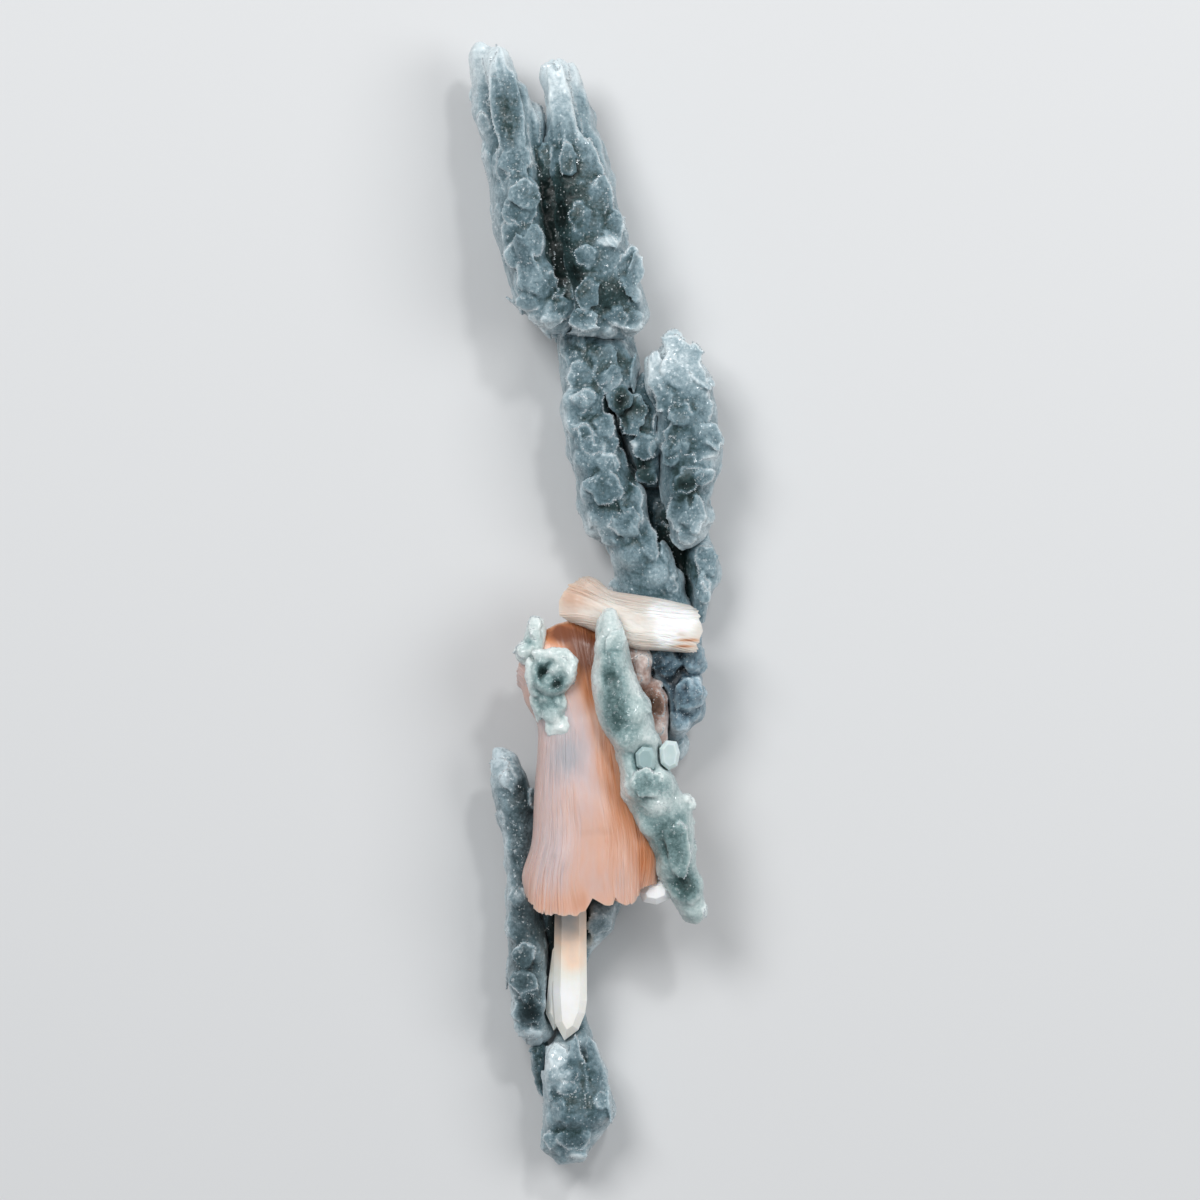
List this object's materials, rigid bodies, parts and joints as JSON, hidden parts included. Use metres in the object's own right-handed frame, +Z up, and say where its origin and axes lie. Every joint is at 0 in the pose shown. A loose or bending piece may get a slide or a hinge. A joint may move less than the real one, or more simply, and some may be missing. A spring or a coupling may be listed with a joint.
{
  "type": "chalcedony spray with stilbite sheaves and heulandite",
  "caption": "Long mineral spray of blue-grey chalcedony fingers carrying peach stilbite sheaves, a cream blade and small pale coffin-shaped crystals, lying on its back.",
  "frame": {"origin": "centre of the footprint on the surface that the specimen lies on", "axes": "+Y along the spray towards the tall double fingers, +Z up out of the surface, which is the side that shows the sheaves, +X to the right seen from above"},
  "size_m": [0.0381, 0.1691, 0.0233],
  "materials": {
    "chalcedony": "translucent blue-grey chalcedony with druzy, paler rims",
    "pale_chalcedony": "translucent greyish-white chalcedony",
    "dark_chalcedony": "dark blue-grey botryoidal chalcedony with sparkling druse",
    "heulandite": "pale glassy coffin-shaped plates with white rims",
    "white_heulandite": "white translucent pearly crystal",
    "cream_stilbite": "cream to peach translucent blade, grey-white at the top",
    "brown_stilbite": "dull brownish-pink crystals",
    "pale_stilbite": "pearly near-white to pale peach sheaf",
    "pink_stilbite": "pearly pinkish-white to orange-peach sheaf with fine striations"
  },
  "bodies": {
    "root": {"heulandite_plate_front": "heulandite", "heulandite_plate_side": "heulandite", "cream_blade": "cream_stilbite", "white_crystal": "white_heulandite", "side_crystals": "brown_stilbite", "front_finger": "chalcedony", "hollow_ring": "pale_chalcedony", "small_white_finger": "pale_chalcedony", "stilbite_bow_tie": "pale_stilbite", "stilbite_fan": "pink_stilbite", "upper_left_finger": "chalcedony", "upper_right_finger": "chalcedony", "side_balls": "dark_chalcedony", "right_lobe": "chalcedony", "lower_left_finger": "chalcedony", "foot_cluster": "chalcedony", "main_stem": "chalcedony", "inner_lobe": "chalcedony", "back_stub": "chalcedony", "right_lower_blade": "chalcedony", "foot_back_finger": "chalcedony", "back_stem": "dark_chalcedony"}
  },
  "joints": []
}
